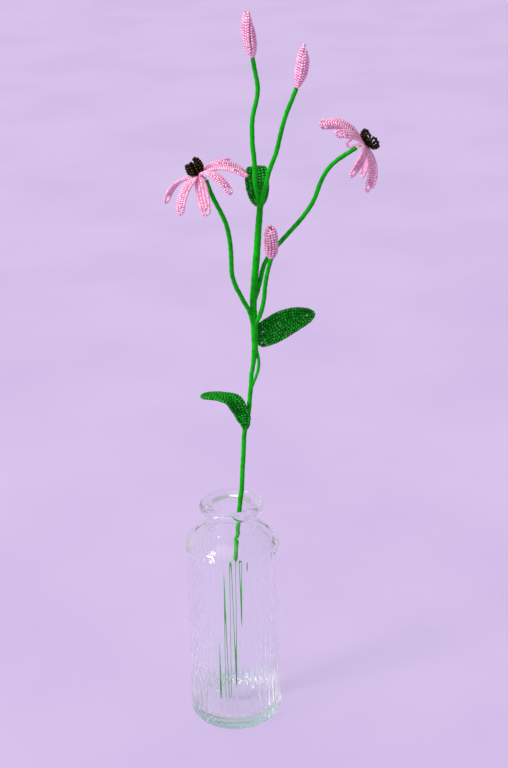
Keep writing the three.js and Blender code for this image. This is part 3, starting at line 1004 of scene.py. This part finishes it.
@dataclass
class Petal:
    """A petal of two bead loops, one inside the other.

    It leaves the hub at one slope and bends evenly to another. turn is its angle about the bloom's
    axis, first and last are the slopes and roll is its turn about its own length, all in degrees.
    width makes it wider or narrower, and inner is how far the inner loop reaches.
    """

    INNER_LENGTH = 21.8

    turn: float
    first: float
    last: float
    roll: float = 0.0
    width: float = 1.0
    inner: float = INNER_LENGTH

    OUTER = ((0, .9), (3, 1.9), (7, 2.75), (14, 2.95), (22, 2.8), (28.5, 2.35), (31.6, 1.8), (32.8, .8))
    INNER = ((0, .5), (4, .85), (12, .98), (18.5, .98), (21, .7))
    LENGTH = 32.85
    ROOT = 2.5

    def surface(self, axes: Axes, hub: Array, along: Array, aside: Array) -> Array:
        """Bends the flat petal.

        Formula: the slope goes evenly from first to last over the petal's length, so its middle
        line is an arc of a circle; aside is added across it, turned by a roll that grows over the
        first 8 mm, and the edges droop with the square of aside.

        Args:
            axes: The bloom's directions.
            hub: The bloom's middle.
            along: Distances from the root.
            aside: Distances from the middle line.

        Returns:
            The points.
        """
        first, bend = math.radians(self.first), math.radians(self.last - self.first) / self.LENGTH
        slope = first + bend * along
        reach = self.ROOT + (np.sin(slope) - math.sin(first)) / bend
        rise = (math.cos(first) - np.cos(slope)) / bend
        turn = math.radians(self.turn)
        outward = math.cos(turn) * axes.right + math.sin(turn) * axes.away
        side = np.cross(axes.axis, outward)
        normal = np.cos(slope)[:, None] * axes.axis - np.sin(slope)[:, None] * outward
        roll = math.radians(self.roll) * np.clip(along / 8, 0, 1)
        wide = aside * self.width
        lift = wide * np.sin(roll) - 0.05 * wide ** 2
        flat = hub + reach[:, None] * outward + rise[:, None] * axes.axis
        return flat + (wide * np.cos(roll))[:, None] * side + lift[:, None] * normal

    def loops(self, axes: Axes, hub: Array, rng: np.random.Generator) -> list[Array]:
        """Returns the waypoints of the two loops.

        Args:
            axes: The bloom's directions.
            hub: The bloom's middle.
            rng: Sets the small bends.
        """
        made = []
        stretched = self.inner / self.INNER_LENGTH
        for half, tip, stretch in ((self.OUTER, self.LENGTH, 1.0), (self.INNER, self.inner, stretched)):
            side = np.array(half, float) * [stretch, 1]
            flat = np.concatenate([side * [1, -1], [[tip, 0.0]], side[::-1]])
            flat = SmoothPath(flat, 6).points
            wander = 0.12 * np.sin(flat[:, 0] / 4.3 + rng.uniform(0, 6.28))
            made.append(self.surface(axes, hub, flat[:, 0], flat[:, 1] + wander))
        return made


@dataclass
class Bloom:
    """An open flower: eight drooping petals, a crown of dark loops, and the wires that hold them."""

    side: str
    hub: Point
    axis: Point
    petals: list[Petal]
    stem_end: Point
    stem_before: Point
    cone_axis: Point
    cone_radius: float
    cone_height: float
    flare: float
    core: float
    pink: Beads = Beads(0.96, 1.5)
    dark: Beads = Beads(1.0, 1.6)

    CONE_BASE = 1.9

    def petal_rows(self, rng: np.random.Generator) -> list[Array]:
        """Returns the waypoints of all the petal loops."""
        axes, hub = Axes.about(self.axis), np.array(self.hub)
        return [row for petal in self.petals for row in petal.loops(axes, hub, rng)]

    def crown_loop(self, turn: float, spread: float, reach: float, height: float) -> Array:
        """Returns one upright loop of the cone.

        Formula: each side of the loop follows the cone's belly at its own angle, half the spread
        to either side of the turn, and the two meet in a round tip; the flare widens the radius
        with the square of the height.

        Args:
            turn: The loop's angle about the axis, in radians.
            spread: The angle between its two sides.
            reach: The belly's radius at its widest.
            height: The height of the tip over the hub.

        Returns:
            The waypoints.
        """
        belly = np.array([[0.36, 0.0], [0.72, 0.1], [0.94, 0.26], [1.0, 0.44], [0.98, 0.62], [0.94, 0.78],
                          [0.87, 0.9]])
        top = np.array([[0.84, 0.975, 0.6], [0.82, 1.0, 0.0], [0.84, 0.975, -0.6]])
        up = np.column_stack([belly, np.ones(len(belly))])
        down = np.column_stack([belly[::-1], -np.ones(len(belly))])
        share = np.concatenate([up, top, down])
        axes = Axes.about(self.cone_axis)
        angle = turn - share[:, 2] * spread / 2
        lift = self.CONE_BASE + share[:, 1] * (height - self.CONE_BASE)
        flared = share[:, 0] * (1 + (self.flare - 1) * share[:, 1] ** 2)
        return np.array(self.hub) + axes.point(flared * reach, angle, lift)

    def crown(self, rng: np.random.Generator) -> list[Array]:
        """Returns the waypoints of the cone's loops: an outer ring, an inner ring and a middle."""
        outer = self.cone_radius - self.dark.radius * 0.95
        height = self.cone_height * 0.87 + 0.75
        rings = ((6, outer, height, 0.44), (4, outer * 0.5, height * self.core, 0.7),
                 (1, 0.9, height * self.core * 0.9, 1.6))
        made = []
        for count, reach, tall, spread in rings:
            for i in range(count):
                turn = (i + 0.5 * (count == 4)) * 2 * math.pi / count + rng.normal(0, 0.08)
                wide = spread * rng.uniform(0.85, 1.1)
                far = reach * rng.uniform(0.94, 1.04)
                made.append(self.crown_loop(turn, wide, far, tall * rng.uniform(0.84, 1.14)))
        return made

    def wires(self, rows: list[Array]) -> Shape:
        """Returns the bare wires: a twisted neck from the stem, a wound knot and the loops' ends.

        Formula: the neck and knot are bars whose radius swells and shrinks along a screw line, as
        wound wire does.

        Args:
            rows: The petal loops, whose ends run in to the hub.
        """
        hub, end = np.array(self.hub), np.array(self.stem_end)
        way = unit(end - np.array(self.stem_before))
        axes = Axes.about(self.axis)
        elbow = end + way * 1.5
        inside = hub - axes.axis * 0.6

        def wound(size: float) -> Callable[[Array, Array], Array]:
            """Returns the radius of a wound bar of about this size."""
            return lambda s, a: size + 0.12 * np.abs(np.sin(s * 4.2 + a * 0.5))

        line = SmoothPath([end - way * 1.5, elbow, (elbow + inside) / 2, inside])
        neck = Tube(line, wound(0.72), 0.12, 12)
        bar = SmoothPath([hub - axes.axis * 1.3, hub, hub + axes.axis * 1.3])
        knot = Tube(bar, lambda s, a: 2.6 * np.sqrt(np.clip(1 - ((s - 1.3) / 1.45) ** 2, 0.05, 1))
                    + 0.14 * np.abs(np.sin(s * 5 + a * 0.5)), 0.1, 18)
        ends = [Tube(SmoothPath([inside, (inside + p) / 2 - axes.axis * 0.15, p]),
                     lambda s, a: 0.2 + 0 * s, 0.5, 6).shape()
                for row in rows for p in (row[0], row[-1])]
        return Shape.join([neck.shape(), knot.shape(), *ends])

    def build(self, rng: np.random.Generator) -> None:
        """Makes and dresses the bloom's three pieces."""
        rows = self.petal_rows(rng)
        name = f"bloom_{self.side}"
        Piece(f"{name}_petals", "petal_beads").show(self.pink.string(rows, rng), [PINK])
        Piece(f"{name}_cone", "cone_beads").show(self.dark.string(self.crown(rng), rng), [BRONZE])
        Piece(f"{name}_binding", "bare_wire").show(self.wires(rows), [WIRE])


@dataclass
class Bud:
    """A closed bud: upright bead loops side by side, twisted round one another.

    Each profile point is a share of the length and of the radius, and there is one tip height, as a
    share of the length, for each loop.
    """

    node: str
    start: Point
    tip: Point
    radius: float
    lean: float
    profile: tuple[tuple[float, float], ...]
    tips: tuple[float, ...]
    twist: float
    bead: Beads = Beads(0.98, 1.55)

    def rows(self, rng: np.random.Generator) -> list[Array]:
        """Returns the waypoints of the loops.

        Formula: a strand follows the bud's belly at its own angle, which turns with height and
        sways by a slow wave; neighbouring strands meet in a round tip.

        Args:
            rng: Sets the waves and the small differences between strands.
        """
        start, span = np.array(self.start), np.array(self.tip) - np.array(self.start)
        axes, length = Axes.about(span), float(np.linalg.norm(span))
        height, share = np.array(self.profile).T
        belly = np.maximum(self.radius * share - self.bead.radius * 0.95, 0.7)
        top = 1.0 - (self.bead.radius + 0.2) / length
        wave = rng.uniform(0, 2 * np.pi)
        made = []
        for k, tall in enumerate(self.tips):
            reach = belly * rng.uniform(0.93, 1.02)
            turns = (np.array([2 * k, 2 * k + 1]) + rng.normal(0, 0.08, 2)) * np.pi / len(self.tips)
            t = 0.03 + np.concatenate([height, [1.0], height[::-1]]) * (top * tall - 0.03)
            r = np.concatenate([reach, [reach[-1] * 0.7], reach[::-1]])
            side = np.concatenate([np.full(len(height), turns[0]), [turns.mean()],
                                   np.full(len(height), turns[1])])
            bow = self.lean * np.sin(np.pi * t)
            angle = side + self.twist * t + 0.25 * np.sin(5.0 * t + wave + 0.5 * k)
            made.append(start + axes.point(r, angle, t * length) + bow[:, None] * axes.right)
        return made

    def build(self, rng: np.random.Generator) -> None:
        """Makes and dresses the bud, with three short strands in its middle."""
        rows = self.rows(rng)
        start, span = np.array(self.start), np.array(self.tip) - np.array(self.start)
        axes, share = Axes.about(span), np.array([0.12, 0.5, 0.86])
        for turn in np.radians([30, 150, 270]):
            core = axes.point(1.35 + 0 * share, turn + share, share * np.linalg.norm(span))
            rows.append(start + core + (self.lean * np.sin(np.pi * share))[:, None] * axes.right)
        Piece(self.node, "petal_beads").show(self.bead.string(rows, rng), [PINK])


# Studio


@dataclass(frozen=True)
class Lamp:
    """A soft far lamp: the direction it stands in, its width in degrees and its strength."""

    name: str
    toward: Point
    width: float
    strength: float
    colour: Colour = (1.0, 1.0, 1.0)

    def build(self) -> None:
        """Hangs the lamp."""
        data = bpy.data.lights.new(self.name, "SUN")
        data.angle = math.radians(self.width)
        data.energy = self.strength
        data.color = self.colour
        lamp = bpy.data.objects.new(self.name, data)
        back = unit(np.array(self.toward))
        right = unit(np.cross([0.0, 0.0, 1.0], back))
        up = np.cross(back, right)
        turned = np.eye(4)
        turned[:3, :3] = np.stack([right, up, back], axis=1)
        lamp.matrix_world = Matrix(turned.tolist())
        bpy.context.scene.collection.objects.link(lamp)


@dataclass
class Studio:
    """The camera, the floor, the lamps and the light from all round."""

    eye: Point = (16.9, -842.0, 624.0)
    pitch: float = 23.70
    roll: float = 1.03
    focal: float = 1400.0
    picture_height: int = 768
    floor_size: float = 80.0
    floor_drop: float = 0.0002
    light_bounces: int = 32
    room_light: float = 0.75
    lamps: tuple[Lamp, ...] = (
        Lamp("key", (-1.0, -0.5, 0.85), 16.0, 2.6, (1.0, 0.99, 0.97)),
        Lamp("top", (-0.2, -0.3, 1.0), 50.0, 0.5),
    )

    def camera(self) -> None:
        """Stands the camera where the photograph was taken from.

        Formula: it looks along +Y tipped down by the pitch, then turned about its own line of sight
        by the roll; the lens follows from the focal length in pixels and the picture's height.
        """
        tip, turn = math.radians(self.pitch), math.radians(self.roll)
        right = np.array([1.0, 0.0, 0.0])
        up = np.array([0.0, math.sin(tip), math.cos(tip)])
        back = np.array([0.0, -math.cos(tip), math.sin(tip)])
        turned = np.eye(4)
        turned[:3, 0] = math.cos(turn) * right - math.sin(turn) * up
        turned[:3, 1] = math.sin(turn) * right + math.cos(turn) * up
        turned[:3, 2] = back
        turned[:3, 3] = np.array(self.eye) * MM
        data = bpy.data.cameras.new("camera")
        data.sensor_fit = "VERTICAL"
        data.sensor_height = 36.0
        data.lens = self.focal / self.picture_height * data.sensor_height
        data.clip_start, data.clip_end = 0.01, 200.0
        camera = bpy.data.objects.new("camera", data)
        camera.matrix_world = Matrix(turned.tolist())
        bpy.context.scene.collection.objects.link(camera)
        bpy.context.scene.camera = camera

    def floor(self) -> None:
        """Lays the pale floor, a flat sheet under the vase's foot."""
        half, cuts = self.floor_size / 2, 9
        x, y = np.meshgrid(np.linspace(-half, half, cuts), np.linspace(-half, half, cuts))
        points = np.stack([x, y, np.full_like(x, -self.floor_drop)], axis=-1).reshape(-1, 3)
        k, i = np.meshgrid(np.arange(cuts - 1), np.arange(cuts - 1), indexing="ij")
        first = (k * cuts + i).ravel()
        faces = np.stack([first, first + 1, first + cuts + 1, first + cuts], axis=1)
        mesh = bpy.data.meshes.new("floor")
        mesh.from_pydata(points.tolist(), [], faces.tolist())
        mesh.materials.append(FLOOR.material())
        sheet = bpy.data.objects.new("floor", mesh)
        bpy.context.scene.collection.objects.link(sheet)

    def world(self) -> None:
        """Fills the room with soft light, brighter to the left than to the right."""
        world = bpy.data.worlds.new("room")
        world.use_nodes = True
        bpy.context.scene.world = world
        tree = Tree(world.node_tree)
        way = tree.value("ShaderNodeTexCoord", "Generated")
        right = tree.axis(way, "X").ease(-0.9, 0.9)
        colour = tree.mix(right, (0.88, 0.88, 0.92), (0.42, 0.41, 0.46))
        inputs = {"Color": colour, "Strength": self.room_light}
        light = tree.value("ShaderNodeBackground", "Background", inputs=inputs)
        tree.node("ShaderNodeOutputWorld", inputs={"Surface": light})

    def build(self) -> None:
        """Sets up everything that isn't part of the object."""
        scene = bpy.context.scene
        scene.view_settings.view_transform = "Standard"
        cycles = scene.cycles
        cycles.max_bounces = cycles.glossy_bounces = cycles.transmission_bounces = self.light_bounces
        cycles.caustics_reflective = cycles.caustics_refractive = False
        self.camera()
        self.floor()
        self.world()
        for lamp in self.lamps:
            lamp.build()


# The object's own sizes

MAIN = Branch(
    [(-7.2, -3, 8.3), (-0.6, 3, 86.3), (6.1, 9.1, 164.3), (7, 9.6, 170.3), (8, 10.4, 185.8),
     (9, 10.8, 200.5), (9.7, 11, 212.4), (11.3, 11.3, 221.6), (12.9, 11.5, 229.6), (14, 12, 239.7),
     (14.9, 12, 247.7), (15.2, 12, 255), (16.3, 11.8, 261.5), (17.7, 11.4, 272.4), (18, 11, 277.5),
     (17.6, 10.5, 293.9), (17.5, 10, 309.4), (18.5, 9.6, 323.2), (19.7, 9.2, 336.5),
     (20.8, 8.8, 350), (22, 8.4, 363.3), (22.6, 8, 370.9)],
    [(0, 1.5), (0.43, 1.6), (0.62, 1.6), (0.655, 1.5), (0.7, 1.4), (0.73, 2.0), (0.755, 2.3), (0.915, 2.3),
     (1, 2.0)],
)
SIDE_STRAND = Branch(
    [(15.1, 11.6, 246.4), (16.7, 10.6, 251.2), (18.5, 10.2, 255.7), (19.9, 10.4, 260.6),
     (20.3, 11.2, 266), (19.4, 11.8, 271.2), (18.4, 11.3, 276)],
    [(0, 1.0), (1, 1.1)],
)
TOP_BUD_BRANCH = Branch(
    [(22.5, 8, 366), (22.4, 8.1, 371.5), (21.8, 8.6, 377.9), (20.2, 9, 384.9), (19.6, 10, 398.4),
     (19.4, 10.4, 403.7), (18.7, 10.8, 409.9), (18.5, 11.2, 416.7), (18.6, 11.5, 424.4),
     (19.3, 11.7, 429.7), (21.3, 12, 437.6), (22.2, 12, 442.5), (22.3, 12, 446.7),
     (21.9, 11.8, 450.4), (20.7, 11, 457.3), (19.6, 10, 464.4)],
    [(0, 1.6), (1, 1.35)],
)
RIGHT_BUD_BRANCH = Branch(
    [(22.3, 8.2, 365), (22.9, 8, 370.4), (23.7, 7.4, 375), (25, 6.4, 381.7), (27, 5, 389.4),
     (28.5, 4, 395.7), (30.7, 3, 401.9), (32.8, 2, 407.8), (35, 0, 417), (37.1, -2, 426),
     (39.8, -3.4, 434.8), (43.3, -4.4, 443.5), (45.4, -5, 448.9)],
    [(0, 1.5), (1, 1.35)],
)
RIGHT_BLOOM_BRANCH = Branch(
    [(17.6, 10, 307.3), (19.9, 10.6, 314), (22.2, 11.6, 322.4), (23.2, 12.2, 327.3),
     (24.8, 13, 332.4), (27.3, 13.6, 336.9), (31.3, 14.4, 342), (42, 16.4, 353.6),
     (48.4, 17.6, 360.4), (51.7, 18.2, 364.6), (54.9, 18.6, 369.2), (57.7, 19, 374.7),
     (60.1, 19.2, 381.3), (62.7, 19.3, 387.4), (65.9, 19.4, 392.6), (70.6, 19.5, 397.5),
     (76.9, 19.5, 401.9), (83.6, 19.6, 406)],
    [(0, 1.5), (1, 1.4)],
)
LEFT_BLOOM_BRANCH = Branch(
    [(17.2, 10.4, 291.2), (15.6, 8.8, 299.2), (13.9, 7.4, 304.6), (11.3, 5.6, 310.1),
     (9.1, 4, 315.5), (6.7, 2.4, 320.9), (5.1, 1, 326.2), (4.1, -0.6, 331.5), (4, -2.6, 339.2),
     (3.9, -4.6, 346.8), (3.2, -7.2, 356.8), (1.5, -9.4, 366.6), (-1.3, -11, 374.2),
     (-4.4, -12.2, 380.9), (-7.2, -13, 387.5), (-10, -13.8, 395.9)],
    [(0, 1.5), (1, 1.4)],
)
MIDDLE_BUD_BRANCH = Branch(
    [(17.9, 10.8, 286.1), (19.2, 9.2, 293.7), (21.3, 7.4, 299.2), (23.2, 5.6, 306.1),
     (24.4, 3.6, 313.3), (25, 0.6, 321.6), (26.1, -2, 329.5), (27.6, -4, 336.5), (29.2, -6, 342.8)],
    [(0, 1.5), (1, 1.35)],
)
STEMS = Stems(MAIN, [SIDE_STRAND, TOP_BUD_BRANCH, RIGHT_BUD_BRANCH, RIGHT_BLOOM_BRANCH,
                     LEFT_BLOOM_BRANCH, MIDDLE_BUD_BRANCH])

LEAVES = [
    Leaf("leaf_right", [
        ((18.2, 15.2, 280.2), (0, 0, 1), 6.4), ((21.4, 15.3, 281.8), (-.2, 0, .98), 8.3),
        ((25.6, 15.6, 284), (-.36, 0, .93), 9.2), ((31.4, 16.2, 287), (-.36, .02, .93), 9.7),
        ((37.6, 17.2, 290.2), (-.27, .04, .96), 9.5), ((44.6, 19, 292.3), (-.2, .06, .97), 8.4),
        ((51, 21.2, 293.2), (-.15, .08, .98), 6.3), ((55.4, 23, 293.7), (-.12, .1, .98), 4),
        ((58, 24.2, 294.3), (-.1, .1, .99), 1.4),
    ], 4, 0.9, [(17.9, 11.4, 276.5), (18.6, 13.6, 277.6), (20.5, 15.3, 279.6), (23.5, 15.5, 282)]),
    Leaf("leaf_low_left", [
        ((10.2, 8.3, 217), (1, 0, .05), 1.6), ((10.6, 7.3, 221.2), (1, 0, .05), 3.2),
        ((9.6, 6.9, 226.4), (.99, 0, .15), 5), ((7.2, 6.5, 232.7), (.93, .2, .3), 5.4),
        ((4.6, 6.4, 237.7), (.75, .62, .16), 6.2), ((.4, 6.6, 241.2), (.45, .88, 0), 7),
        ((-5.8, 7, 243), (.12, .98, -.07), 7.6), ((-12, 7.3, 243.5), (.02, .99, -.1), 6.8),
        ((-16.4, 7.5, 243.2), (0, .99, -.1), 4.8), ((-18.9, 7.6, 242.5), (0, .99, -.1), 1.8),
    ], 3, 0.4, [(10.2, 11, 214.5), (10.2, 9.6, 216.2), (10.4, 8, 218.5), (10.4, 7.4, 221)]),
    Leaf("leaf_top", [
        ((22.4, 11.2, 371.2), (1, 0, 0), 1.8), ((22.2, 12.5, 373.6), (1, 0, .02), 4.6),
        ((21.8, 13, 377.6), (1, 0, .04), 6.4), ((21.4, 13.8, 382.4), (1, 0, .05), 7.4),
        ((21.1, 15, 387.2), (1, 0, .05), 7.7), ((20.9, 17.4, 391.4), (1, 0, .05), 7.5),
        ((21, 21, 393.6), (1, 0, .04), 6.8), ((21.2, 25.6, 393.2), (1, 0, .03), 5.6),
        ((21.4, 29.4, 390.8), (1, 0, .02), 3.8), ((21.5, 31.4, 388.4), (1, 0, 0), 1.4),
    ], 3, 0.8, [(22.5, 8.6, 369), (22.5, 10.4, 370.4), (22.3, 12, 373), (22, 12.8, 376)]),
]

BLOOMS = [
    Bloom("left", (-14, -14, 399.1), (-.435, .079, .897), [
        Petal(149.4, 21.2, -50.9, 14, 1.0, 28.0), Petal(236, 10.9, -54.7, -16, 0.9, 28.5),
        Petal(263, -33, -34, -13, 1.0, 28.5), Petal(302, 23.6, -85.5, -19, 0.95, 28.0),
        Petal(25.3, 18, -80, 40, 1.0, 29.0), Petal(327.5, 17.6, -56.7, -12, 1.0, 25.0),
        Petal(60.9, 12, -25, 3, 1.0, 29.0), Petal(109, 12, -25, 2),
    ], (-10, -13.8, 395.9), (-7.2, -13, 387.5), (-.44, -.06, .89), 5.9, 9.7, 1.0, 0.9),
    Bloom("right", (88.3, 20, 407.9), (.758, .024, .652), [
        Petal(191.7, 21.5, -65.2, -17, 0.98, 29.0), Petal(138, 6.9, -62.5, 5, 1.12, 29.0),
        Petal(230.6, 15.5, -39.3, -2, 1.05, 28.0), Petal(89.6, 20, -62.1),
        Petal(276.4, 1.4, -64, -30, 1.0, 28.5), Petal(49.5, -7.3, -51.9, 15, 1.05, 27.0),
        Petal(309, 4, -64.7, 0, 1.12, 28.5), Petal(25.6, 2.8, -59.6, 0, 1.0, 27.0),
    ], (83.6, 19.6, 406), (76.9, 19.5, 401.9), (.758, .024, .652), 7.2, 7.4, 1.36, 0.6),
]

SLIM_BUD = ((0, .34), (.08, .55), (.17, .78), (.27, .93), (.37, 1), (.47, 1), (.57, .98), (.67, .93),
            (.77, .83), (.86, .7), (.94, .54))
BLUNT_BUD = ((0, .45), (.08, .7), (.17, .87), (.27, .95), (.37, .99), (.47, 1), (.57, 1), (.67, 1),
             (.77, .98), (.86, .91), (.94, .74))
FULL_BUD = ((0, .34), (.08, .5), (.17, .68), (.27, .83), (.37, .94), (.47, 1), (.57, 1), (.67, .98),
            (.77, .92), (.86, .82), (.94, .62))

BUDS = [
    Bud("bud_top", (19.7, 10, 464.4), (16.3, 8, 493.6), 4.4, -0.6, SLIM_BUD,
        (.9, .97, 1, .95, 1, .88), 1.4),
    Bud("bud_right", (45.7, -5, 448.9), (51, -7, 476.2), 4.3, 0.5, FULL_BUD,
        (.83, .86, .96, 1, .9, .82), 0.8),
    Bud("bud_middle", (29.3, -6, 342.8), (29.2, -8, 365), 4.7, 0.0, BLUNT_BUD,
        (.96, 1, .95, 1, .94, .98), 0.3),
]


def write_sizes() -> None:
    """Updates the view layer, so that every object's placement is current."""
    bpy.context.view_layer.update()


def main() -> None:
    """Builds the object and the studio round it."""
    logging.basicConfig(level=logging.INFO, format="%(name)s: %(message)s")
    Studio().build()
    Vase().build()
    STEMS.build(np.random.default_rng(11))
    for number, leaf in enumerate(LEAVES):
        leaf.build(np.random.default_rng(21 + number))
    for number, bloom in enumerate(BLOOMS):
        bloom.build(np.random.default_rng(31 + number))
    for number, bud in enumerate(BUDS):
        bud.build(np.random.default_rng(41 + number))
    write_sizes()


if __name__ == "__main__":
    main()
